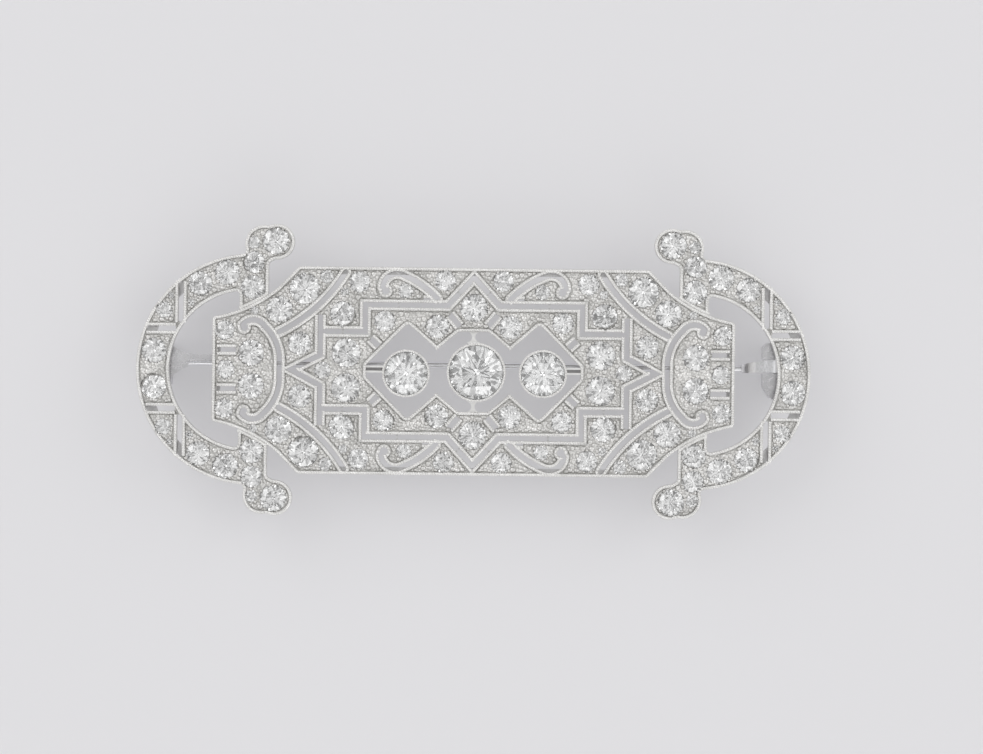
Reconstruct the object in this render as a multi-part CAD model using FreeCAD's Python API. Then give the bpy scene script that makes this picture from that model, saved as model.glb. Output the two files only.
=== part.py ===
"""Art Deco plaque brooch in pierced platinum, pave-set with round diamonds.

Frame: millimetres, +Z up.  The brooch lies face up, long axis along X.  The origin is
the centre of the footprint, and z = 0 is the lowest point of the pin's hinge and catch.
The hinge is at +X, the catch at -X.
"""
import FreeCAD
import Part
import math
import os
from FreeCAD import Vector

# --- driving dimensions (mm) ------------------------------------------------------------
PIN_LINE_Y = 0.55          # the pin lies just off the long axis
PIN_LINE_Z = 1.3
FOOT_PLATE = (2.7, 3.1)    # z range of the hinge and catch foot plates
RAIL_Z = (3.1, 3.5)        # z range of the under-gallery wire
PLATE_BACK = 4.0           # underside of the pierced sheets
GROUND = 5.0               # top of the pave ground
RIM_TOP = 5.2              # top of the raised edges
RIM_WIDTH = 0.26
SLOT_WIDTH = 0.42

LOOP_OUTER = (18.8, 9.8)   # centre x and radius of the horseshoe's outer edge
LOOP_INNER = (19.1, 6.7)
STEM_X = (17.43, 19.87)    # sides of the straight stem that joins a loop to the panel
STEM_Y = (4.5, 9.7)
LOOP_ROOT = 0.7            # the horseshoe runs this far into its stems

LOOP_LOBES = ((16.75, 10.85, 1.5), (17.85, 10.65, 1.6))   # centre x, y and radius
LOOP_FILLET = 0.35

LOOP_RAIL_INSETS = (0.2, 1.05)    # the under-gallery wire lies this far in from the edge
LOOP_RAIL_ROOT = 0.5              # and starts this far inside the stem's outer side
PANEL_RAIL_INSETS = (0.12, 0.62)
POST_RADIUS = 0.2
LOOP_POST_RING = 9.18             # distance of a loop's posts from its centre
LOOP_POST_ANGLES = (0, 15, 27.5, 54, 66.5, 82)
PANEL_POSTS = [(4.0, 8.43), (8.75, 8.43), (13.6, 8.43), (16.3, 6.75), (20.2, 4.57),
               (21.78, 2.45), (21.78, 0.9)]
TAB = ((18.7, 4.4), (18.7, 6.6), 2.0)   # solder tab between loop and panel: ends and width

STRUT_Z = (4.1, 4.9)
STRUT_WAIST = 0.14         # half widths of the flared struts above and below the centre collet
STRUT_FLARE = 0.55
SIDE_STRUT_Y = (-0.15, 0.45)      # y range of the struts beside the side collets
SIDE_STRUT_GROOVE = (0.02, 0.28)  # y range of the groove along them

STONE_SIDES = 8
CROWN_HEIGHT = 0.30        # these five are fractions of the girdle radius
GIRDLE_THICKNESS = 0.06
PAVILION_DEPTH = 0.86
TABLE_RADIUS = 0.56
SEAT_BORE = 0.60
SEAT_CLEARANCE = 0.005
GIRDLE_DROP = 0.05         # girdle of a pave stone below the ground's surface

COLLET_WALL = 0.2
COLLET_BORE = 0.72         # fraction of the stone's radius
COLLET_FOOT = 3.2
COLLET_TAPER = 0.45        # a collet's foot is this much narrower than its bezel
LIP_HEIGHT = 0.25          # bezel above the stone's girdle
COLLETS = {                # centre x, centre y, outer radius, top of the bezel
    "centre": (0.25, -0.05, 2.5, 6.0),
    "left": (-5.7, -0.2, 2.03, 5.7),
    "right": (5.9, -0.12, 2.05, 5.7),
}

FOOT_PAD_X = (25.95, 26.95)   # where a foot plate's pad meets the underside of its loop
FOOT_PAD_INSET = 0.4
HINGE_X = 25.9
KNUCKLE_RADIUS = 1.3
BRACKET_END_X = 28.0
RIVET_RADIUS = 0.30
RIVET_HEAD = (0.12, 0.15)  # height, and overhang beyond the shank
RUNNING_CLEARANCE = 0.03
LUG_FAR = (1.40, 2.75)     # y ranges of the two hinge lugs
LUG_NEAR = (-1.90, 0.15)
LUG_CORNERS = ((24.6, -0.95), (25.25, -1.9), (BRACKET_END_X, -1.9), (BRACKET_END_X, 2.75),
               (25.0, 2.75), (24.6, 2.35))   # plan of the bracket
TONGUE_KNUCKLE = KNUCKLE_RADIUS - 0.08
TONGUE_CHEEK = (0.3, 0.04)  # the tongue's flanks leave the knuckle this far back and this much lower
TONGUE_SHOULDER = 1.0       # and its far side narrows from this far in front of the hinge's axis
TONGUE_SIDE_PLAY = 0.05
TONGUE_TIP_X = 22.9
TONGUE_TIP_HALF = 0.36
STEM_RADIUS = 0.28
STEM_SOCKET = 1.2          # length of the stem's square tenon in the tongue
TENON_HALF = 0.16
STEM_TIP_X = -28.2
STEM_TAPER = 2.6           # length of the stem's sharpened end
STEM_POINT = 0.05          # radius at the very tip

CATCH_LEAVES = ((-27.95, -27.45), (-26.25, -25.75))   # x ranges
CATCH_NOSE = [(-25.75, 1.95), (-24.3, 1.25), (-24.3, 0.2), (-24.9, -0.1), (-25.75, -0.75)]
CATCH_TAIL = ((-24.3, -21.7), (0.75, 1.25))           # strip that ties the nose to the panel's rail
LEAF_HALF_WIDTH = 1.9
LEAF_CORNER = 0.6
LEAF_SLOT = 0.8
JOURNAL_RADIUS = 0.82
ROTOR_DISC_RADIUS = 1.15
ROTOR_BORE = 0.36
ROTOR_GAP = 0.04           # end play of the rotor between the leaves
LEVER_REACH = 2.15
LEVER_SECTION = (0.35, 0.22)   # half width along X and half thickness
LEVER_TILT = -8.0          # degrees below the horizontal, pointing to +Y, unlocked

QUADRANTS = ((1, 1), (-1, 1), (-1, -1), (1, -1))
BEYOND = 30.0              # reach of a cutting shape that clears the whole brooch
OVERSHOOT = 1.0            # a cutting tool runs this far past the metal

# --- centre lines in the first quadrant -------------------------------------------------
# A path is a start point and then steps: a point for a straight run, or a pair of points
# (through, end) for an arc.
PANEL_EDGE = [(0, 8.8), (14.65, 8.8), ((14.87, 8.75), (15.03, 8.6)), (16.6, 7.0),
              ((19.2, 5.35), (21.85, 4.5)), ((22.06, 4.4), (22.15, 4.2)), (22.15, 0)]
FRAME_SLOT = [(15.45, 0), (13.0, 1.3), (13.0, 3.3), (9.2, 3.3), (9.2, 5.6), (2.2, 5.6), (0, 8.0)]
CORNER_SLOT = [(16.5, 3.2), ((13.25, 5.45), (10.9, 8.35))]
C_SCROLL = [(16.45, 0), (16.45, 1.0), ((16.85, 2.5), (17.75, 3.7)), ((18.75, 4.2), (19.6, 3.75))]
C_SCROLL_EYE = (19.45, 3.55, 0.30)
COMMA = [(3.1, 6.15), ((4.5, 7.35), (6.0, 8.15)), ((7.35, 7.95), (7.75, 7.1))]
COMMA_EYE = (7.5, 6.8, 0.32)
OPENING = [(9.1, 0), (9.1, 0.5), (5.6, 4.05), (3.1, 1.85), (1.25, 3.4), (0, 3.4)]

OPENING_ROUND = 0.3

# Short square-ended slots: start, end, width.
FRAME_SPUR = ((13.0, 3.0), (13.0, 4.7), 0.42)
LOZENGE_SLOT = ((2.05, 4.85), (1.2, 3.85), 0.42)
ELBOW_SLOT = ((8.75, 2.75), (8.05, 2.1), 0.42)
END_SLOT = ((20.1, 1.65), (21.75, 1.65), 0.38)
LEAF_TIP_SLOT = ((3.7, 6.12), (4.3, 6.12), 0.16)
LOOP_SLOT_FLAT = ((25.25, 3.4), (27.75, 3.4), 0.42)
LOOP_SLOT_TALL = ((24.85, 3.9), (24.85, 7.4), 0.45)

# Bridges across the frame slot: centre, direction of the slot in degrees.
BRIDGES = ((11.1, 3.3, 0), (6.4, 5.6, 0), (1.25, 6.64, 132.5))
BRIDGE_WIDTH = 0.14
BRIDGE_Z = (4.2, 4.7)

# --- stones in the first quadrant: x, y, girdle radius ----------------------------------
LOOP_STONES = [(27.1, 1.5, 1.08), (26.25, 4.95, 0.72), (25.7, 6.2, 0.3), (23.25, 7.2, 1.05),
               (20.95, 8.2, 1.1), (24.0, 5.6, 0.35), (18.75, 6.95, 1.05), (18.72, 9.08, 0.95),
               (18.7, 10.75, 0.55), (16.85, 10.9, 1.15)]
END_STONES = [(21.1, 3.3, 0.85), (18.87, 1.4, 1.12), (18.6, 5.0, 0.38)]
END_AXIS_STONES = [(21.0, 0, 0.8)]
SHOULDER_STONES = [(16.5, 5.1, 1.16), (14.35, 6.9, 1.32), (12.5, 7.95, 0.6)]
CELL_STONES = [(14.75, 2.25, 1.0), (11.1, 4.75, 1.1), (9.7, 7.5, 0.92), (11.0, 6.65, 0.4)]
SCROLL_STONES = [(2.45, 7.7, 0.9), (5.8, 6.8, 0.66)]
FRAME_STONES = [(10.8, 1.5, 1.25), (7.55, 4.2, 0.92), (3.1, 3.8, 1.02)]
FRAME_AXIS_STONES = [(12.8, 0, 0.72)]
LOZENGE_STONES = [(0, 5.4, 1.2)]


# --- plane geometry ---------------------------------------------------------------------
def mirrored(item, sign_x, sign_y):
    """A point, or a nested list of points, reflected by the two signs."""
    if isinstance(item[0], (int, float)):
        return (sign_x * item[0], sign_y * item[1]) + tuple(item[2:])
    return [mirrored(part, sign_x, sign_y) for part in item]


def trace(path):
    """The edges of a path."""
    edges = []
    here = path[0]
    for step in path[1:]:
        if isinstance(step[0], (int, float)):
            edges.append(Part.LineSegment(Vector(*here, 0), Vector(*step, 0)).toShape())
            here = step
        else:
            through, end = step
            arc = Part.Arc(Vector(*here, 0), Vector(*through, 0), Vector(*end, 0))
            edges.append(arc.toShape())
            here = end
    return edges


def four_way_face(path):
    """The face whose edge is a first-quadrant path and its three reflections."""
    edges = []
    for signs in QUADRANTS:
        edges += trace(mirrored(path, *signs))
    return Part.Face(Part.Wire(Part.__sortEdges__(edges)))


def band(path, width):
    """The round-ended strip of the given width along an open path."""
    wire = Part.Wire(trace(path))
    return Part.Face(wire.makeOffset2D(width / 2, 0, False, False, False))


def bar(start, end, width):
    """A rectangle of the given width from one point to the other."""
    length = math.dist(start, end)
    face = Part.makePlane(length, width, Vector(0, -width / 2, 0))
    direction = math.atan2(end[1] - start[1], end[0] - start[0])
    face.rotate(Vector(), Vector(0, 0, 1), math.degrees(direction))
    face.translate(Vector(*start, 0))
    return face


def disc(x, y, radius):
    return Part.Face(Part.Wire(Part.makeCircle(radius, Vector(x, y, 0))))


def polygon(corners):
    """The face with the given corners."""
    return Part.Face(Part.makePolygon([Vector(*corner, 0) for corner in [*corners, corners[0]]]))


def rectangle(x_range, y_range):
    return Part.makePlane(x_range[1] - x_range[0], y_range[1] - y_range[0],
                          Vector(x_range[0], y_range[0], 0))


def box(x_range, y_range, z_range):
    return Part.makeBox(x_range[1] - x_range[0], y_range[1] - y_range[0], z_range[1] - z_range[0],
                        Vector(x_range[0], y_range[0], z_range[0]))


def prism(shape, bottom, top):
    """Every face of a flat shape, extruded from one height to another."""
    solids = []
    for face in shape.Faces:
        solid = face.extrude(Vector(0, 0, top - bottom))
        solid.translate(Vector(0, 0, bottom))
        solids.append(solid)
    return solids


def merged(first, others):
    """One face that covers all the given flat shapes: the floor of their joined prisms."""
    solids = [solid for other in others for solid in prism(other, 0, 1)]
    joined = prism(first, 0, 1)[0].fuse(solids).removeSplitter()
    return [face for face in joined.Faces if face.BoundBox.ZMax < 0.5][0]


def inset(shape, distance):
    """A flat shape with its edge moved inwards."""
    return Part.makeCompound([face.makeOffset2D(-distance) for face in shape.Faces])


# --- stones and seats -------------------------------------------------------------------
def ring_points(x, y, radius, z, sides):
    angles = [math.tau * k / sides for k in range(sides)]
    return [Vector(x + radius * math.cos(a), y + radius * math.sin(a), z) for a in angles]


def brilliant(x, y, radius, girdle_z, sides=STONE_SIDES):
    """A round stone: table, crown facets, thin girdle and pavilion down to the culet."""
    girdle_top = ring_points(x, y, radius, girdle_z, sides)
    girdle_low = ring_points(x, y, radius, girdle_z - GIRDLE_THICKNESS * radius, sides)
    table = ring_points(x, y, TABLE_RADIUS * radius, girdle_z + CROWN_HEIGHT * radius, sides)
    culet = Vector(x, y, girdle_z - PAVILION_DEPTH * radius)
    outlines = [table]
    for k in range(sides):
        n = (k + 1) % sides
        outlines.append([table[k], girdle_top[k], girdle_top[n], table[n]])
        outlines.append([girdle_top[k], girdle_low[k], girdle_low[n], girdle_top[n]])
        outlines.append([girdle_low[k], culet, girdle_low[n]])
    faces = [Part.Face(Part.makePolygon(outline + outline[:1])) for outline in outlines]
    return Part.Solid(Part.Shell(faces))


def seat(x, y, radius, girdle_z):
    """The tool that cuts a stone's seat: a bore, a cone and the girdle's recess."""
    wide = radius + SEAT_CLEARANCE
    girdle_low = girdle_z - GIRDLE_THICKNESS * radius
    bore = SEAT_BORE * radius
    cone_foot = girdle_low - (wide - bore) * (PAVILION_DEPTH - GIRDLE_THICKNESS)
    foot, head = PLATE_BACK - OVERSHOOT, RIM_TOP + OVERSHOOT
    profile = [(0, foot), (bore, foot), (bore, cone_foot), (wide, girdle_low), (wide, head),
               (0, head), (0, foot)]
    wire = Part.makePolygon([Vector(r, 0, z) for r, z in profile])
    tool = Part.Face(wire).revolve(Vector(), Vector(0, 0, 1), 360)
    tool.translate(Vector(x, y, 0))
    return tool


def placed(stones, quadrants=QUADRANTS):
    """The stones of one quadrant, reflected into each of the given quadrants."""
    return [mirrored(stone, *signs) for signs in quadrants for stone in stones]


def on_axis(stones):
    """Stones that lie on an axis of symmetry, with their opposite numbers."""
    return [mirrored(stone, *signs) for signs in ((1, 1), (-1, -1)) for stone in stones]


# --- pierced sheets ---------------------------------------------------------------------
def pierced_sheet(outline, slots, wide_slots, stones):
    """A sheet pierced by slots, its ground sunk between raised edges, with a seat per stone."""
    field = inset(outline, RIM_WIDTH).cut(wide_slots)
    solids = []
    tools = prism(field, GROUND, RIM_TOP + OVERSHOOT)
    tools += [seat(*stone, GROUND - GIRDLE_DROP) for stone in stones]
    for block in prism(outline.cut(slots), PLATE_BACK, RIM_TOP):
        solids += block.cut(tools).Solids
    return solids


def mirrored_bars(slots, extra, quadrants=QUADRANTS):
    """Square-ended slots, wider by the given amount, reflected into each of the quadrants."""
    shapes = []
    for signs in quadrants:
        for start, end, width in slots:
            shapes.append(bar(mirrored(start, *signs), mirrored(end, *signs), width + extra))
    return shapes


def panel_slots(extra):
    """All slots of the panel but the frame slot, wider by the given amount."""
    shapes = mirrored_bars((FRAME_SPUR, END_SLOT, LEAF_TIP_SLOT), extra)
    for signs in QUADRANTS:
        for path in (CORNER_SLOT, C_SCROLL, COMMA):
            shapes.append(band(mirrored(path, *signs), SLOT_WIDTH + extra))
        for eye in (C_SCROLL_EYE, COMMA_EYE):
            x, y, radius = mirrored(eye, *signs)
            shapes.append(disc(x, y, radius + extra / 2))
    return shapes


def build_panel():
    """The outer panel and the inner frame, which the frame slot parts all the way round."""
    centre_line = four_way_face(FRAME_SLOT)
    opening = four_way_face(OPENING).makeOffset2D(-OPENING_ROUND).makeOffset2D(OPENING_ROUND)
    half = SLOT_WIDTH / 2
    outer_stones = placed(END_STONES + SHOULDER_STONES + CELL_STONES + SCROLL_STONES)
    outer_stones += on_axis(END_AXIS_STONES)
    panel = pierced_sheet(four_way_face(PANEL_EDGE),
                          panel_slots(0) + [centre_line.makeOffset2D(half, 2)],
                          panel_slots(2 * RIM_WIDTH) + [centre_line.makeOffset2D(half + RIM_WIDTH, 2)],
                          outer_stones)
    inner_stones = placed(FRAME_STONES) + on_axis(FRAME_AXIS_STONES + LOZENGE_STONES)
    short_slots = mirrored_bars((LOZENGE_SLOT, ELBOW_SLOT), 0)
    short_rims = mirrored_bars((LOZENGE_SLOT, ELBOW_SLOT), 2 * RIM_WIDTH)
    frame = pierced_sheet(centre_line.makeOffset2D(-half, 2), short_slots + [opening],
                          short_rims + [opening.makeOffset2D(RIM_WIDTH, 2)], inner_stones)
    return {"panel": panel, "inner_frame": frame}


def build_bridges():
    """Small bars across the frame slot, which hold the inner frame in the panel."""
    solids = []
    for x, y, direction in BRIDGES:
        across = math.radians(direction + 90)
        reach = (SLOT_WIDTH / 2 * math.cos(across), SLOT_WIDTH / 2 * math.sin(across))
        ends = [(x - reach[0], y - reach[1]), (x + reach[0], y + reach[1])]
        for signs in QUADRANTS:
            solids += prism(bar(*mirrored(ends, *signs), BRIDGE_WIDTH), *BRIDGE_Z)
    return {"frame_bridges": solids}


def loop_outline():
    """The right-hand loop in plan: horseshoe, two stems and their lobes, up to the panel's edge."""
    parts = []
    for side in (1, -1):
        parts.append(rectangle(STEM_X, sorted((side * STEM_Y[0], side * STEM_Y[1]))))
        parts += [disc(x, side * y, radius) for x, y, radius in LOOP_LOBES]
    ring = disc(LOOP_OUTER[0], 0, LOOP_OUTER[1]).cut(disc(LOOP_INNER[0], 0, LOOP_INNER[1]))
    ring = ring.common(rectangle((STEM_X[1] - LOOP_ROOT, BEYOND), (-BEYOND, BEYOND)))
    outline = merged(ring, parts).makeOffset2D(LOOP_FILLET).makeOffset2D(-LOOP_FILLET)
    return outline.cut(four_way_face(PANEL_EDGE))


def build_loops():
    outline = loop_outline()
    shapes = {}
    for name, side in (("right", 1), ("left", -1)):
        signs = [(side, 1), (side, -1)]
        slots = mirrored_bars((LOOP_SLOT_FLAT, LOOP_SLOT_TALL), 0, signs)
        rims = mirrored_bars((LOOP_SLOT_FLAT, LOOP_SLOT_TALL), 2 * RIM_WIDTH, signs)
        plan = outline if side > 0 else outline.mirror(Vector(), Vector(1, 0, 0))
        shapes["loop_" + name] = pierced_sheet(plan, slots, rims, placed(LOOP_STONES, signs))
    return shapes


def build_gallery():
    """The wire that runs under the edges, the posts that carry it and the solder tabs."""
    panel = four_way_face(PANEL_EDGE)
    outer, inner = [inset(panel, distance) for distance in PANEL_RAIL_INSETS]
    shapes = {"gallery_panel": prism(outer.cut(inner), *RAIL_Z)}
    centre, radius = LOOP_OUTER
    posts = [mirrored(post, *signs) for signs in QUADRANTS for post in PANEL_POSTS]
    for name, side in (("right", 1), ("left", -1)):
        rail = disc(side * centre, 0, radius - LOOP_RAIL_INSETS[0])
        rail = rail.cut(disc(side * centre, 0, radius - LOOP_RAIL_INSETS[1]))
        root = STEM_X[1] - LOOP_RAIL_ROOT
        rail = rail.common(rectangle(sorted((side * root, side * BEYOND)), (-BEYOND, BEYOND)))
        shapes["gallery_loop_" + name] = prism(rail, *RAIL_Z)
        angles = sorted({sign * angle for angle in LOOP_POST_ANGLES for sign in (1, -1)})
        for angle in angles:
            turn = math.radians(angle)
            reach = (LOOP_POST_RING * math.cos(turn), LOOP_POST_RING * math.sin(turn))
            posts.append((side * (centre + reach[0]), reach[1]))
    height = PLATE_BACK - RAIL_Z[1]
    shapes["gallery_posts"] = [Part.makeCylinder(POST_RADIUS, height, Vector(x, y, RAIL_Z[1]))
                               for x, y in posts]
    tabs = mirrored_bars((TAB,), 0)
    shapes["loop_tabs"] = [solid for tab in tabs for solid in prism(tab, RAIL_Z[1], PLATE_BACK)]
    return shapes


def flared_strut(side, reach):
    """A strut that narrows to a waist between the collet and the edge of the opening."""
    waist = (reach + COLLETS["centre"][2]) / 2
    near = 2 * waist - reach
    path = [(0, reach), (STRUT_FLARE, reach), ((STRUT_WAIST, waist), (STRUT_FLARE, near)),
            (0, near - STRUT_FLARE)]
    edges = [edge for sign in (1, -1) for edge in trace(mirrored(path, sign, side))]
    return prism(Part.Face(Part.Wire(Part.__sortEdges__(edges))), *STRUT_Z)[0]


def build_centre():
    """The three collets with their diamonds, and the struts that hold them in the opening."""
    shapes = {}
    for name, (x, y, radius, top) in COLLETS.items():
        stone = radius - COLLET_WALL
        girdle = top - LIP_HEIGHT
        seat_slope = PAVILION_DEPTH - GIRDLE_THICKNESS
        seat_z = girdle - GIRDLE_THICKNESS * stone
        bore = COLLET_BORE * stone
        profile = [(bore, COLLET_FOOT), (radius - COLLET_TAPER, COLLET_FOOT), (radius, seat_z),
                   (radius, top), (stone + SEAT_CLEARANCE, top), (stone + SEAT_CLEARANCE, seat_z),
                   (bore, seat_z - (stone - bore) * seat_slope)]
        wire = Part.makePolygon([Vector(r, 0, z) for r, z in profile + profile[:1]])
        collet = Part.Face(wire).revolve(Vector(), Vector(0, 0, 1), 360)
        collet.translate(Vector(x, y, 0))
        shapes["collet_" + name] = [collet]
        shapes["diamond_" + name] = [brilliant(x, y, stone, girdle, 2 * STONE_SIDES)]

    reach_x, reach_y = OPENING[0][0], OPENING[-1][1]
    struts = {"top": ("centre", flared_strut(1, reach_y)),
              "bottom": ("centre", flared_strut(-1, reach_y))}
    for name, side in (("left", -1), ("right", 1)):
        x_range = sorted((side * reach_x, COLLETS[name][0]))
        block = box(x_range, SIDE_STRUT_Y, STRUT_Z)
        groove = box(x_range, SIDE_STRUT_GROOVE, (sum(STRUT_Z) / 2, STRUT_Z[1]))
        struts[name] = (name, block.cut(groove))
    for name, (collet, block) in struts.items():
        x, y, radius, top = COLLETS[collet]
        hollow = Part.makeCylinder(radius - 2 * COLLET_WALL, top, Vector(x, y, 0))
        shapes["strut_" + name] = block.cut([shapes["collet_" + collet][0], hollow]).Solids
    return shapes


# --- pin, hinge and catch ---------------------------------------------------------------
def cylinder_y(radius, y_range):
    """A cylinder about the hinge's axis."""
    start = Vector(HINGE_X, y_range[0], PIN_LINE_Z)
    return Part.makeCylinder(radius, y_range[1] - y_range[0], start, Vector(0, 1, 0))


def cylinder_x(radius, x_range):
    """A cylinder about the pin's line."""
    start = Vector(x_range[0], PIN_LINE_Y, PIN_LINE_Z)
    return Part.makeCylinder(radius, x_range[1] - x_range[0], start, Vector(1, 0, 0))


def build_hinge():
    """The bracket, notched between its two lugs, and the rivet that the pin turns on."""
    width = (LUG_NEAR[0], LUG_FAR[1])
    lug_x = (HINGE_X - KNUCKLE_RADIUS, HINGE_X + KNUCKLE_RADIUS)
    pad_y = (width[0] + FOOT_PAD_INSET, width[1] - FOOT_PAD_INSET)
    pieces = [box(FOOT_PAD_X, pad_y, (FOOT_PLATE[1], PLATE_BACK))]
    for lug in (LUG_NEAR, LUG_FAR):
        pieces.append(cylinder_y(KNUCKLE_RADIUS, lug))
        pieces.append(box(lug_x, lug, (PIN_LINE_Z, FOOT_PLATE[1])))
    bracket = box((lug_x[0], BRACKET_END_X), width, FOOT_PLATE).fuse(pieces)
    bracket = bracket.common(prism(polygon(LUG_CORNERS), 0, PLATE_BACK)[0])
    notch = box((lug_x[0], FOOT_PAD_X[0]), (LUG_NEAR[1], LUG_FAR[0]), FOOT_PLATE)
    bracket = bracket.cut([notch, cylinder_y(RIVET_RADIUS, (-BEYOND, BEYOND))]).removeSplitter()
    head, overhang = RIVET_HEAD
    rivet = cylinder_y(RIVET_RADIUS, width)
    for y in (width[0] - head, width[1]):
        rivet = rivet.fuse(cylinder_y(RIVET_RADIUS + overhang, (y, y + head)))
    return {"hinge_bracket": bracket.Solids, "hinge_rivet": rivet.removeSplitter().Solids}


def build_pin():
    """The tongue, which turns between the lugs, and the stem soldered into its end."""
    knuckle, tip = TONGUE_KNUCKLE, TONGUE_TIP_HALF
    back, drop = TONGUE_CHEEK
    y_low, y_high = LUG_NEAR[1] + TONGUE_SIDE_PLAY, LUG_FAR[0] - TONGUE_SIDE_PLAY
    side_view = [(HINGE_X, knuckle), (HINGE_X - back, knuckle - drop), (TONGUE_TIP_X, tip),
                 (TONGUE_TIP_X, -tip), (HINGE_X - back, drop - knuckle), (HINGE_X, -knuckle)]
    wire = Part.makePolygon([Vector(x, y_low, PIN_LINE_Z + z) for x, z in side_view + side_view[:1]])
    body = Part.Face(wire).extrude(Vector(0, y_high - y_low, 0))
    body = body.fuse(cylinder_y(knuckle, (y_low, y_high)))
    plan = [(HINGE_X + KNUCKLE_RADIUS, y_low), (HINGE_X + KNUCKLE_RADIUS, y_high),
            (HINGE_X - TONGUE_SHOULDER, y_high), (TONGUE_TIP_X, PIN_LINE_Y + tip),
            (TONGUE_TIP_X, y_low)]
    body = body.common(prism(polygon(plan), 0, FOOT_PLATE[0])[0])
    tenon = box((TONGUE_TIP_X, TONGUE_TIP_X + STEM_SOCKET),
                (PIN_LINE_Y - TENON_HALF, PIN_LINE_Y + TENON_HALF),
                (PIN_LINE_Z - TENON_HALF, PIN_LINE_Z + TENON_HALF))
    body = body.cut([cylinder_y(RIVET_RADIUS + RUNNING_CLEARANCE, (-BEYOND, BEYOND)), tenon])
    taper_x = STEM_TIP_X + STEM_TAPER
    stem = cylinder_x(STEM_RADIUS, (taper_x, TONGUE_TIP_X)).fuse(tenon)
    tip_point = Vector(STEM_TIP_X, PIN_LINE_Y, PIN_LINE_Z)
    point = Part.makeCone(STEM_POINT, STEM_RADIUS, STEM_TAPER, tip_point, Vector(1, 0, 0))
    stem = stem.fuse(point)
    return {"pin_tongue": body.removeSplitter().Solids, "pin_stem": stem.removeSplitter().Solids}


def build_catch():
    """The bracket with its two slotted leaves, and the rotor that turns between them."""
    y_range = (PIN_LINE_Y - LEAF_HALF_WIDTH, PIN_LINE_Y + LEAF_HALF_WIDTH)
    x_range = (CATCH_LEAVES[0][0], CATCH_LEAVES[1][1])
    pad_x = (-FOOT_PAD_X[1], -FOOT_PAD_X[0])
    pad_y = (y_range[0] + FOOT_PAD_INSET, y_range[1] - FOOT_PAD_INSET)
    pieces = [box(pad_x, pad_y, (FOOT_PLATE[1], PLATE_BACK)), box(*CATCH_TAIL, FOOT_PLATE)]
    pieces += prism(polygon(CATCH_NOSE), *FOOT_PLATE)
    for leaf_x in CATCH_LEAVES:
        leaf = box(leaf_x, y_range, (0, FOOT_PLATE[1]))
        corners = [edge for edge in leaf.Edges
                   if edge.BoundBox.ZMax < 0.01 and edge.BoundBox.XLength > 0.01]
        pieces.append(leaf.makeFillet(LEAF_CORNER, corners))
    bracket = box(x_range, y_range, FOOT_PLATE).fuse(pieces)
    slot = (PIN_LINE_Y - LEAF_SLOT / 2, PIN_LINE_Y + LEAF_SLOT / 2)
    bracket = bracket.cut([cylinder_x(JOURNAL_RADIUS + RUNNING_CLEARANCE, x_range),
                           box(x_range, slot, (-OVERSHOOT, PIN_LINE_Z))])

    disc_x = (CATCH_LEAVES[0][1] + ROTOR_GAP, CATCH_LEAVES[1][0] - ROTOR_GAP)
    middle = sum(disc_x) / 2
    half_width, half_height = LEVER_SECTION
    end = LEVER_REACH - half_height
    lever_x = (middle - half_width, middle + half_width)
    lever = box(lever_x, (0, end), (-half_height, half_height))
    tip_centre = Vector(lever_x[0], end, 0)
    lever = lever.fuse(Part.makeCylinder(half_height, 2 * half_width, tip_centre, Vector(1, 0, 0)))
    lever.rotate(Vector(), Vector(1, 0, 0), LEVER_TILT)
    lever.translate(Vector(0, PIN_LINE_Y, PIN_LINE_Z))
    rotor = cylinder_x(JOURNAL_RADIUS, (x_range[0] + ROTOR_GAP, x_range[1] - ROTOR_GAP))
    rotor = rotor.fuse([cylinder_x(ROTOR_DISC_RADIUS, disc_x), lever])
    mouth = (PIN_LINE_Y - ROTOR_BORE, PIN_LINE_Y + ROTOR_BORE)
    rotor = rotor.cut([cylinder_x(ROTOR_BORE, x_range), box(x_range, mouth, (-OVERSHOOT, PIN_LINE_Z))])
    return {"catch_bracket": bracket.removeSplitter().Solids,
            "catch_rotor": rotor.removeSplitter().Solids}


def build_stones():
    """The pave stones, one group for each field of the design."""
    right = ((1, 1), (1, -1))
    left = ((-1, 1), (-1, -1))
    groups = {"diamonds_lozenges": on_axis(LOZENGE_STONES),
              "diamonds_scrolls": placed(SCROLL_STONES),
              "diamonds_frame": placed(FRAME_STONES) + on_axis(FRAME_AXIS_STONES)}
    for name, signs in (("left", left), ("right", right)):
        groups["diamonds_loop_" + name] = placed(LOOP_STONES, signs)
        groups["diamonds_shoulder_" + name] = placed(SHOULDER_STONES, signs)
        groups["diamonds_cells_" + name] = placed(CELL_STONES, signs)
        groups["diamonds_end_" + name] = placed(END_STONES, signs) + placed(END_AXIS_STONES, signs[:1])
    return {name: [brilliant(*stone, GROUND - GIRDLE_DROP) for stone in stones]
            for name, stones in groups.items()}


def main():
    os.makedirs("parts", exist_ok=True)
    shapes = {}
    for build in (build_panel, build_bridges, build_loops, build_gallery, build_centre, build_stones,
                  build_hinge, build_pin, build_catch):
        shapes.update(build())
    for name, solids in shapes.items():
        shape = solids[0] if len(solids) == 1 else Part.makeCompound(solids)
        shape.exportStep("parts/" + name + ".step")
        print(f"{name:26s} {len(solids):3d} solids {shape.Volume:9.3f} mm3 valid {shape.isValid()}")


main()
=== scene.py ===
"""Looks of an Art Deco plaque brooch, over the pieces of its frame.

Adds the full-cut stones, the grains that hold them and the millegrain edges, and gives every piece
its metal; then sets the light, the table and the camera.
"""
import math
import random

import bmesh
import bpy
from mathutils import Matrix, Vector
from mathutils.bvhtree import BVHTree
from mathutils.kdtree import KDTree


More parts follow.
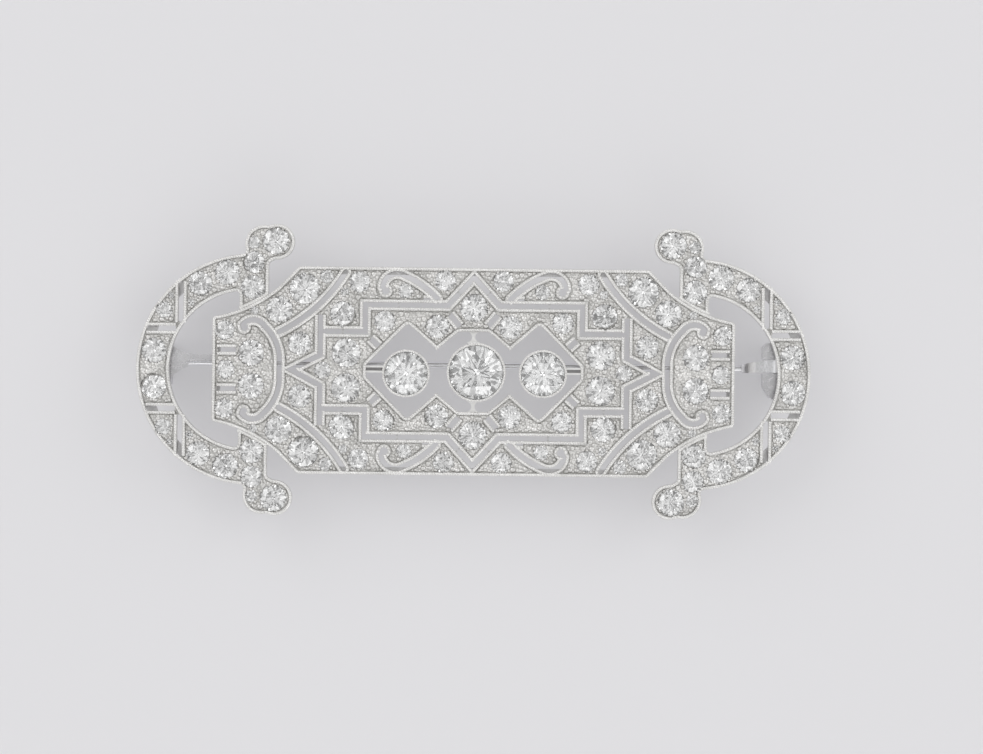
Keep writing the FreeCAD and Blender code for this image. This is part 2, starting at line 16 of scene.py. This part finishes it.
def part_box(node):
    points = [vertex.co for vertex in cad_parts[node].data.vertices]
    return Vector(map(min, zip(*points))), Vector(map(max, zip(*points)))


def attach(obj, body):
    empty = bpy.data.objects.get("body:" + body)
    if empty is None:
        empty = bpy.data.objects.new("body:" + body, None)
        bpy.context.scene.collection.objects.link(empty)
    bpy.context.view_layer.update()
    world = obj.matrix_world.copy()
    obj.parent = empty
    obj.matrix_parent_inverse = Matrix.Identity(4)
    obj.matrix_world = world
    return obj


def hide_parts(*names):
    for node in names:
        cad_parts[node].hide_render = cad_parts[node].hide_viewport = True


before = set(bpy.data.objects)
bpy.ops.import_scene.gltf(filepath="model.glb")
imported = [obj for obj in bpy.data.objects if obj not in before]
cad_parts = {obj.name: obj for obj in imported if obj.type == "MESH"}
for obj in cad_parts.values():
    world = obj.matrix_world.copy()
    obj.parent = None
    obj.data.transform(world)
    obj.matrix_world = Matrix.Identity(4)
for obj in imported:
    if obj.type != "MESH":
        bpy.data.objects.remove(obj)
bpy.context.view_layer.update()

MM = 0.001
LEVEL = 0.01 * MM            # heights closer than this are the same level

# raised edges and their millegrain
GROUND_DROP = 0.20 * MM      # the pave ground lies this far below the raised edges
RIM_WIDTH = 0.26 * MM
MILLEGRAIN_PITCH = 0.21 * MM
MILLEGRAIN_RADIUS = 0.13 * MM
MILLEGRAIN_HEIGHT = 0.6      # of its radius
BEZEL_BEAD_PITCH = 0.24 * MM
BEZEL_BEAD_RADIUS = 0.115 * MM
BEZEL_BEAD_INSET = 0.10 * MM

# grains: radius, and how many are tried on a square millimetre of ground
GRAIN_SIZES = ((0.24 * MM, 8.0), (0.19 * MM, 30.0), (0.14 * MM, 60.0), (0.10 * MM, 80.0))
GRAIN_SPACING = 0.72         # of the sum of two neighbours' radii
GRAIN_SINK = 0.02 * MM
HOLDING_GRAIN = (0.13 * MM, 0.18 * MM)
HOLDING_GRAIN_OFFSET = 0.03 * MM
CREVICE = 0.25 * MM          # how far apart two surfaces still shade each other

LEAN = 0.03                  # slope of a hand-set stone
UPRIGHT = (0, 0)
STONE_PLAY = 0.995           # a stone's size against its seat

WHITE = (1, 1, 1)

CAMERA_CENTRE = (1.55 * MM, -0.41 * MM)
CAMERA_ROLL = 0.69           # degrees
CAMERA_DISTANCE = 0.45
FIELD_WIDTH = 83.3 * MM

SHEETS = ("panel", "inner_frame", "loop_left", "loop_right")
COLLET_STONES = ("diamond_centre", "diamond_left", "diamond_right")
random.seed(7)


# --- camera, floor and light -----------------------------------------------------------
def make_camera():
    data = bpy.data.cameras.new("camera")
    data.sensor_width = 36
    data.lens = data.sensor_width * CAMERA_DISTANCE / FIELD_WIDTH
    data.clip_start = 0.01
    camera = bpy.data.objects.new("camera", data)
    camera.location = (*CAMERA_CENTRE, sheet_top("panel") + CAMERA_DISTANCE)
    camera.rotation_euler = (0, 0, math.radians(CAMERA_ROLL))
    bpy.context.scene.collection.objects.link(camera)
    bpy.context.scene.camera = camera


def make_floor():
    """A pale, softly glowing table, so that the piercings read light."""
    bpy.ops.mesh.primitive_plane_add(size=3)
    floor = bpy.context.object
    floor.name = "floor"
    material, shader = new_material("floor")
    shader.inputs["Base Color"].default_value = (0.42, 0.417, 0.425, 1)
    shader.inputs["Roughness"].default_value = 0.9
    shader.inputs["Emission Color"].default_value = (0.615, 0.61, 0.63, 1)
    shader.inputs["Emission Strength"].default_value = 0.55
    floor.data.materials.append(material)


def add_softbox(name, location, size, power, colour=(1, 1, 1)):
    data = bpy.data.lights.new(name, "AREA")
    data.shape = "RECTANGLE"
    data.size, data.size_y = size
    data.energy = power
    data.color = colour
    light = bpy.data.objects.new(name, data)
    light.location = location
    light.rotation_euler = Vector(location).to_track_quat("Z", "Y").to_euler()
    bpy.context.scene.collection.objects.link(light)


def make_surround():
    """A surround of soft white and grey cards, which the stones pick up, over a plain horizon."""
    world = bpy.data.worlds.new("studio")
    world.use_nodes = True
    nodes, links = world.node_tree.nodes, world.node_tree.links
    place = nodes.new("ShaderNodeTexCoord")
    cards = nodes.new("ShaderNodeTexNoise")
    cards.inputs["Scale"].default_value = 7.5
    cards.noise_dimensions = "4D"
    cards.inputs["W"].default_value = 1.3
    cards.inputs["Detail"].default_value = 1.0
    links.new(place.outputs["Generated"], cards.inputs["Vector"])
    edges = nodes.new("ShaderNodeMapRange")
    edges.inputs["From Min"].default_value = 0.46
    edges.inputs["From Max"].default_value = 0.54
    edges.inputs["To Min"].default_value = 0.30
    edges.inputs["To Max"].default_value = 1.0
    links.new(cards.outputs["Fac"], edges.inputs["Value"])
    split = nodes.new("ShaderNodeSeparateXYZ")
    links.new(place.outputs["Generated"], split.inputs["Vector"])
    raised = nodes.new("ShaderNodeMapRange")
    raised.inputs["From Min"].default_value = 0.15
    raised.inputs["From Max"].default_value = 0.30
    links.new(split.outputs["Z"], raised.inputs["Value"])
    blend = nodes.new("ShaderNodeMix")
    blend.inputs["A"].default_value = 0.80
    links.new(raised.outputs["Result"], blend.inputs["Factor"])
    links.new(edges.outputs["Result"], blend.inputs["B"])
    links.new(blend.outputs["Result"], nodes["Background"].inputs["Color"])
    nodes["Background"].inputs["Strength"].default_value = 0.96
    bpy.context.scene.world = world


def make_lights():
    add_softbox("key", (-0.50, 0.42, 0.55), (0.80, 0.65), 2.0)
    add_softbox("fill", (0.60, 0.18, 0.42), (0.60, 0.60), 1.2)
    add_softbox("front", (0.05, -0.62, 0.36), (0.75, 0.42), 1.0)


# --- materials -------------------------------------------------------------------------
def new_material(name):
    material = bpy.data.materials.new(name)
    material.use_nodes = True
    return material, material.node_tree.nodes["Principled BSDF"]


def add_node(material, kind, **sockets):
    node = material.node_tree.nodes.new(kind)
    for name, value in sockets.items():
        node.inputs[name.replace("_", " ")].default_value = value
    return node


def noise(material, scale, detail=3.0):
    """Object-space noise; the scale counts features per metre."""
    place = material.node_tree.nodes.new("ShaderNodeTexCoord")
    texture = add_node(material, "ShaderNodeTexNoise", Scale=scale, Detail=detail)
    material.node_tree.links.new(place.outputs["Object"], texture.inputs["Vector"])
    return texture


def ramp(material, source, stops):
    """A colour ramp over a value output; stops are (position, colour)."""
    node = material.node_tree.nodes.new("ShaderNodeValToRGB")
    elements = node.color_ramp.elements
    while len(elements) < len(stops):
        elements.new(0.5)
    for element, (position, colour) in zip(elements, stops):
        element.position = position
        element.color = (*colour, 1)
    material.node_tree.links.new(source, node.inputs["Fac"])
    return node.outputs["Color"]


def polished_metal(name, dark, light, roughness, bump, scale=9000):
    """Metal whose colour, gloss and surface vary finely, as handled and hand-cut metal does."""
    material, shader = new_material(name)
    links = material.node_tree.links
    shader.inputs["Metallic"].default_value = 1.0
    grain = noise(material, scale)
    patches = noise(material, scale / 12)
    colour = ramp(material, patches.outputs["Fac"], ((0.35, dark), (0.65, light)))
    links.new(colour, shader.inputs["Base Color"])
    glossy, dull = (roughness * 0.7,) * 3, (roughness * 1.3,) * 3
    spread = ramp(material, grain.outputs["Fac"], ((0.3, glossy), (0.7, dull)))
    links.new(spread, shader.inputs["Roughness"])
    relief = add_node(material, "ShaderNodeBump", Strength=bump, Distance=0.02 * MM)
    links.new(grain.outputs["Fac"], relief.inputs["Height"])
    links.new(relief.outputs["Normal"], shader.inputs["Normal"])
    return material


def darken(material, shade):
    """Multiplies a material's base colour by another colour output."""
    nodes, links = material.node_tree.nodes, material.node_tree.links
    base = nodes["Principled BSDF"].inputs["Base Color"]
    product = nodes.new("ShaderNodeVectorMath")
    product.operation = "MULTIPLY"
    links.new(base.links[0].from_socket, product.inputs[0])
    links.new(shade, product.inputs[1])
    links.new(product.outputs["Vector"], base)


def paint_crevice_shade(material, dark):
    """Paints shade into a material's colour where the work is closed in, as in the corners between
    grains.
    """
    closeness = add_node(material, "ShaderNodeAmbientOcclusion", Distance=CREVICE)
    closeness.samples = 6
    darken(material, ramp(material, closeness.outputs["AO"], ((0.35, dark), (0.9, WHITE))))


def paint_shade_by_height(material, low, high, dark):
    """Paints shade into the base colour: multiplies it by a tone that rises from dark at one height
    to 1 at another.
    """
    nodes, links = material.node_tree.nodes, material.node_tree.links
    place = nodes.new("ShaderNodeTexCoord")
    split = nodes.new("ShaderNodeSeparateXYZ")
    links.new(place.outputs["Object"], split.inputs["Vector"])
    height = nodes.new("ShaderNodeMapRange")
    height.inputs["From Min"].default_value = low
    height.inputs["From Max"].default_value = high
    links.new(split.outputs["Z"], height.inputs["Value"])
    darken(material, ramp(material, height.outputs["Result"], ((0.0, dark), (1.0, WHITE))))


def sheet_metal():
    """Platinum sheet: bright raised edges, and a ground with painted shade that deepens towards its
    depth.
    """
    dark, light = (0.78, 0.773, 0.755), (0.86, 0.853, 0.84)
    material = polished_metal("platinum_sheet", dark, light, 0.30, 0.25)
    low, high = [sheet_top("panel") - depth * GROUND_DROP for depth in (2, 0.3)]
    # painted shade: the ground's colour darkens the deeper it lies below the raised edges
    paint_shade_by_height(material, low, high, (0.70, 0.693, 0.685))
    # painted shade where the ground is closed in, between grains, edges and stones
    paint_crevice_shade(material, (0.54, 0.535, 0.525))
    return material


def strut_metal():
    """Struts: bright along their ridges, with painted shade in the groove."""
    material = polished_metal("strut_metal", (0.93, 0.925, 0.915), (0.97, 0.965, 0.955), 0.45, 0.1)
    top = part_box("strut_left")[1][2]
    # painted shade: the strut's colour darkens down into the groove below its ridges
    paint_shade_by_height(material, top - 0.3 * MM, top - 0.1 * MM, (0.40, 0.395, 0.40))
    return material


def diamond_material(name, tint, roughness, clarity):
    """Strongly refracting stone with a faint, uneven body tint and a little milkiness."""
    material, shader = new_material(name)
    shader.inputs["Roughness"].default_value = roughness
    shader.inputs["IOR"].default_value = 2.42
    shader.inputs["Transmission Weight"].default_value = clarity
    cloud = noise(material, 900, 1.0)
    body = ramp(material, cloud.outputs["Fac"], ((0.3, tint), (0.7, WHITE)))
    material.node_tree.links.new(body, shader.inputs["Base Color"])
    return material


# --- reading the frame -----------------------------------------------------------------
def sheet_top(node):
    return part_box(node)[1][2]


def welded(node):
    """A bmesh copy of a CAD node with its coincident corners joined."""
    mesh = bmesh.new()
    mesh.from_mesh(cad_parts[node].data)
    bmesh.ops.remove_doubles(mesh, verts=mesh.verts, dist=1e-7)
    mesh.normal_update()
    return mesh


def islands(mesh):
    """The connected groups of vertices of a bmesh."""
    left = set(mesh.verts)
    while left:
        group = [left.pop()]
        for vertex in group:
            for edge in vertex.link_edges:
                other = edge.other_vert(vertex)
                if other in left:
                    left.remove(other)
                    group.append(other)
        yield group


def stones_of(node):
    """(centre at girdle height, girdle radius) of each stone of a CAD node."""
    found = []
    mesh = welded(node)
    for group in islands(mesh):
        low = Vector([min(v.co[k] for v in group) for k in range(3)])
        high = Vector([max(v.co[k] for v in group) for k in range(3)])
        centre = (low + high) / 2
        reach = {v: math.hypot(v.co.x - centre.x, v.co.y - centre.y) for v in group}
        radius = max(reach.values())
        girdle = max(v.co.z for v in group if reach[v] > 0.97 * radius)
        found.append((Vector((centre.x, centre.y, girdle)), radius))
    mesh.free()
    return sorted(found, key=lambda stone: tuple(stone[0]))


# --- building meshes -------------------------------------------------------------------
def mesh_object(name, vertices, faces, material, smooth=False):
    mesh = bpy.data.meshes.new(name)
    mesh.from_pydata(vertices, [], faces)
    mesh.materials.append(material)
    mesh.polygons.foreach_set("use_smooth", [smooth] * len(faces))
    mesh.update()
    piece = bpy.data.objects.new(name, mesh)
    bpy.context.scene.collection.objects.link(piece)
    return piece


def brilliant(table=0.55, crown=0.31, depth=0.84, girdle=0.03, star=0.76, lower=0.24):
    """Vertices and faces of a round brilliant of girdle radius 1, culet down.

    The table, the star facets' points and the lower ends of the lower facets are given as radii;
    the girdle is given as half its thickness.
    """
    half = math.cos(math.pi / 8)

    def ring(radius, z, offset, count=8):
        return [(radius * math.cos(math.tau * (k + offset) / count),
                 radius * math.sin(math.tau * (k + offset) / count), z) for k in range(count)]

    star_z = crown * (1 - (star * half - table) / (1 - table))
    lower_z = -girdle - depth * (1 - lower * half)
    points = ring(table, crown, 0) + ring(star, star_z, 0.5)
    points += ring(1, girdle, 0, 16) + ring(1, -girdle, 0, 16)
    points += ring(lower, lower_z, 0.5) + [(0, 0, -girdle - depth)]
    stars, upper, under, lowest, culet = 8, 16, 32, 48, 56
    faces = [tuple(range(8))]
    for k in range(8):
        after = (k + 1) % 8
        near, between, far = 2 * k, 2 * k + 1, (2 * k + 2) % 16
        before = (k - 1) % 8
        faces.append((k, stars + k, after))
        faces.append((k, stars + before, upper + near, stars + k))
        faces.append((upper + near, upper + between, stars + k))
        faces.append((upper + between, upper + far, stars + k))
        faces.append((under + near, under + between, upper + between, upper + near))
        faces.append((under + between, under + far, upper + far, upper + between))
        faces.append((under + near, lowest + k, under + between))
        faces.append((under + between, lowest + k, under + far))
        faces.append((under + near, lowest + before, culet, lowest + k))
    return points, faces


def dome(segments=8, rings=3):
    """Vertices and faces of a hemisphere of radius 1, open below."""
    points = []
    for r in range(rings):
        rise = math.pi / 2 * r / rings
        points += [(math.cos(math.tau * s / segments) * math.cos(rise),
                    math.sin(math.tau * s / segments) * math.cos(rise),
                    math.sin(rise)) for s in range(segments)]
    points.append((0, 0, 1))
    faces = []
    for r in range(rings - 1):
        for s in range(segments):
            n = (s + 1) % segments
            a = r * segments
            faces.append((a + s, a + n, a + segments + n, a + segments + s))
    last = (rings - 1) * segments
    faces += [(last + s, last + (s + 1) % segments, rings * segments) for s in range(segments)]
    return points, faces


def scatter(name, form, places, material, smooth):
    """Copies of a form as one piece; a place is (centre, radius, turn, height factor, lean)."""
    points, faces = form
    vertices, polygons = [], []
    for centre, radius, turn, tall, lean in places:
        base = len(vertices)
        c, s = radius * math.cos(turn), radius * math.sin(turn)
        for x, y, z in points:
            across, along = c * x - s * y, s * x + c * y
            rise = radius * tall * z + lean[0] * across + lean[1] * along
            vertices.append((centre[0] + across - lean[0] * radius * z,
                             centre[1] + along - lean[1] * radius * z, centre[2] + rise))
        polygons += [tuple(base + k for k in face) for face in faces]
    return mesh_object(name, vertices, polygons, material, smooth)


# --- stones ----------------------------------------------------------------------------
def make_stones(material, big_material):
    """Full-cut stones in place of the simple ones of the frame; returns every pave stone."""
    pave = []
    for node in sorted(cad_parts):
        if not node.startswith("diamond"):
            continue
        stones = stones_of(node)
        in_collet = node in COLLET_STONES
        places = [(centre, radius * STONE_PLAY, random.uniform(0, math.tau), 1.0,
                   (random.gauss(0, LEAN), random.gauss(0, LEAN))) for centre, radius in stones]
        look = big_material if in_collet else material
        piece = scatter(node + "_cut", brilliant(), places, look, False)
        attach(piece, "brooch")
        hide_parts(node)
        if not in_collet:
            pave += stones
    return pave


# --- millegrain and grains -------------------------------------------------------------
def rim_edges(mesh, top):
    """Pairs (edge, inward direction) along the piercings and outlines of a sheet's raised edges."""
    found = []
    for edge in mesh.edges:
        if len(edge.link_faces) != 2:
            continue
        upper = [f for f in edge.link_faces
                 if f.normal.z > 0.9 and f.calc_center_median().z > top - LEVEL]
        walls = [f for f in edge.link_faces if abs(f.normal.z) < 0.2]
        if len(upper) != 1 or len(walls) != 1:
            continue
        if min(v.co.z for v in walls[0].verts) < top - 3 * GROUND_DROP:
            found.append((edge, -walls[0].normal))
    return found


def chains(edges):
    """Runs of joined edges, each a list of (point, inward direction)."""
    inward = {edge: direction for edge, direction in edges}
    at = {}
    for edge in inward:
        for vertex in edge.verts:
            at.setdefault(vertex, []).append(edge)
    left = dict.fromkeys(inward)
    ends = [v for v, joined in at.items() if len(joined) == 1]
    for start in ends + list(at):
        free = [edge for edge in at[start] if edge in left]
        if not free:
            continue
        run, vertex, edge = [], start, free[0]
        while edge is not None:
            del left[edge]
            other = edge.other_vert(vertex)
            run.append((vertex.co.copy(), other.co.copy(), inward[edge]))
            vertex = other
            onward = [e for e in at[vertex] if e in left]
            edge = onward[0] if onward else None
        yield run


def beads_along(run, pitch):
    """Evenly spaced points on a run, moved in to the middle of the raised edge."""
    total = sum((b - a).length for a, b, inward in run)
    count = max(1, round(total / pitch))
    step = total / count
    reach, travelled = step / 2, 0.0
    for a, b, inward in run:
        length = (b - a).length
        while reach <= travelled + length and length > 0:
            yield a.lerp(b, (reach - travelled) / length) + inward * RIM_WIDTH / 2
            reach += step
        travelled += length


def plan_tree(points):
    """A search tree over points in plan."""
    tree = KDTree(len(points))
    for index, point in enumerate(points):
        tree.insert((point[0], point[1], 0), index)
    tree.balance()
    return tree


def clear_of_stones(point, margin, stones, tree):
    """True if a point in plan is at least margin outside every stone's girdle."""
    flat = (point.x, point.y, 0)
    return all(distance > stones[index][1] + margin
               for co, index, distance in tree.find_n(flat, 4))


def make_millegrain(node, stones, tree, material):
    """Beads along all of a sheet's raised edges; returns where they are."""
    mesh = welded(node)
    bmesh.ops.dissolve_limit(mesh, angle_limit=0.02, verts=mesh.verts, edges=mesh.edges)
    top = sheet_top(node)
    places = []
    for run in chains(rim_edges(mesh, top)):
        for point in beads_along(run, MILLEGRAIN_PITCH):
            if clear_of_stones(point, 0.02 * MM, stones, tree):
                radius = MILLEGRAIN_RADIUS * random.uniform(0.93, 1.05)
                places.append(((point.x, point.y, top - 0.01 * MM), radius,
                               random.uniform(0, 1), MILLEGRAIN_HEIGHT, UPRIGHT))
    mesh.free()
    piece = scatter("millegrain_" + node, dome(7, 2), places, material, True)
    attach(piece, "brooch")
    return [place[0] for place in places]


def ground_triangles(node):
    """Triangles of a sheet's sunk ground."""
    mesh = welded(node)
    bmesh.ops.triangulate(mesh, faces=mesh.faces)
    level = sheet_top(node) - GROUND_DROP
    found = [[v.co.copy() for v in face.verts] for face in mesh.faces
             if face.normal.z > 0.9 and abs(face.calc_center_median().z - level) < LEVEL]
    mesh.free()
    return found


def holding_grains(node, stones):
    """(point, radius) of the grains raised round each stone, which lap over its girdle."""
    mesh = welded(node)
    sheet = BVHTree.FromBMesh(mesh)
    mesh.free()
    level = sheet_top(node) - GROUND_DROP
    found = []
    for centre, radius in stones:
        count = max(4, round(radius / MM * 6))
        start = random.uniform(0, math.tau)
        for k in range(count):
            turn = start + math.tau * (k + random.uniform(-0.2, 0.2)) / count
            outward = Vector((math.cos(turn), math.sin(turn), 0))
            beside = centre + outward * (radius + 0.1 * MM)
            hit = sheet.ray_cast(Vector((beside.x, beside.y, level + MM)), Vector((0, 0, -1)))[0]
            if hit is not None and hit.z > level - LEVEL:
                point = centre + outward * (radius + HOLDING_GRAIN_OFFSET)
                grain_radius = random.uniform(*HOLDING_GRAIN)
                found.append((Vector((point.x, point.y, level)), grain_radius))
    return found


def random_point(triangle):
    """An evenly random point on a triangle."""
    u, v = random.random(), random.random()
    if u + v > 1:
        u, v = 1 - u, 1 - v
    a, b, c = triangle
    return a + (b - a) * u + (c - a) * v


def crowded(point, radius, placed):
    """True if a grain would lap too far over one that is already there."""
    return any((point - other).length < GRAIN_SPACING * (radius + other_radius)
               for other, other_radius in placed)


def make_grains(node, stones, tree, edge_points, material):
    """Raised grains: some that hold each stone, and others over the ground between."""
    edges = plan_tree(edge_points)
    triangles = ground_triangles(node)
    areas = [((b - a).cross(c - a)).length / 2 for a, b, c in triangles]
    level = sheet_top(node) - GROUND_DROP
    placed = holding_grains(node, stones)
    holding = len(placed)
    for size, density in GRAIN_SIZES:
        tries = int(sum(areas) / MM ** 2 * density)
        for triangle in random.choices(triangles, weights=areas, k=tries):
            point = random_point(triangle)
            radius = size * random.uniform(0.85, 1.12)
            from_edge = edges.find((point.x, point.y, 0))[2]
            if (clear_of_stones(point, 0.35 * radius, stones, tree)
                    and from_edge >= RIM_WIDTH / 2 + 0.7 * radius
                    and not crowded(point, radius, placed)):
                placed.append((point, radius))
    places = [((point.x, point.y, level - GRAIN_SINK), radius, random.uniform(0, 1),
               random.uniform(0.9, 1.1) if k < holding else random.uniform(0.4, 0.65), UPRIGHT)
              for k, (point, radius) in enumerate(placed)]
    piece = scatter("grains_" + node, dome(8, 3), places, material, True)
    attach(piece, "brooch")


def make_bezel_beads(collet, material):
    """A ring of millegrain round a collet's bezel."""
    low, high = [Vector(corner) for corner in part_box(collet)]
    centre = (low + high) / 2
    radius = (high.x - low.x) / 2 - BEZEL_BEAD_INSET
    count = round(math.tau * radius / BEZEL_BEAD_PITCH)
    turns = [math.tau * k / count for k in range(count)]
    places = [((centre.x + radius * math.cos(turn), centre.y + radius * math.sin(turn),
                high.z - 0.04 * MM), BEZEL_BEAD_RADIUS, 0.0, 1.0, UPRIGHT) for turn in turns]
    piece = scatter("beads_" + collet, dome(8, 3), places, material, True)
    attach(piece, "brooch")


# --- putting it together ---------------------------------------------------------------
def paint(node, material):
    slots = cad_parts[node].data.materials
    slots.clear()
    slots.append(material)


def make_metals():
    """The plain metals, by what they are used for."""
    metals = {
        "bright": polished_metal("platinum_bright", (0.84, 0.83, 0.815), (0.93, 0.925, 0.91),
                                 0.2, 0.3),
        "edge": polished_metal("millegrain", (0.78, 0.773, 0.76), (0.88, 0.873, 0.86), 0.40, 0.1),
        "bead": polished_metal("grains", (0.68, 0.672, 0.657), (0.88, 0.87, 0.855), 0.42, 0.2),
        "gallery": polished_metal("gallery", (0.74, 0.735, 0.74), (0.84, 0.835, 0.84), 0.35, 0.2),
        "plate": polished_metal("hinge_and_catch", (0.62, 0.615, 0.63), (0.80, 0.795, 0.81),
                                0.3, 0.35, 2600),
        "wire": polished_metal("pin_wire", (0.84, 0.84, 0.865), (0.92, 0.92, 0.94), 0.18, 0.05),
    }
    # painted shade in the closed-in corners of the grains, gallery, hinge, catch and pin
    for name in ("bead", "gallery", "plate", "wire"):
        paint_crevice_shade(metals[name], (0.62, 0.615, 0.605))
    return metals


def paint_nodes(metals):
    """Gives each CAD node its metal."""
    sheet, struts = sheet_metal(), strut_metal()
    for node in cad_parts:
        if node in SHEETS:
            paint(node, sheet)
        elif node.startswith(("gallery", "loop_tabs", "frame_bridges")):
            paint(node, metals["gallery"])
        elif node.startswith("strut"):
            paint(node, struts)
        elif node.startswith("pin"):
            paint(node, metals["wire"])
        elif node.startswith(("hinge", "catch")):
            paint(node, metals["plate"])
        elif not node.startswith("diamond"):
            paint(node, metals["bright"])


def main():
    make_camera()
    make_floor()
    make_surround()
    make_lights()
    metals = make_metals()
    paint_nodes(metals)
    small = diamond_material("pave_diamond", (0.76, 0.76, 0.755), 0.0, 0.985)
    large = diamond_material("large_diamond", (0.98, 0.99, 0.99), 0.015, 0.965)
    stones = make_stones(small, large)
    tree = plan_tree([centre for centre, radius in stones])
    for node in SHEETS:
        edge_points = make_millegrain(node, stones, tree, metals["edge"])
        make_grains(node, stones, tree, edge_points, metals["bead"])
    for node in sorted(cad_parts):
        if node.startswith("collet"):
            make_bezel_beads(node, metals["edge"])
    bpy.context.scene.view_settings.view_transform = "Standard"


main()
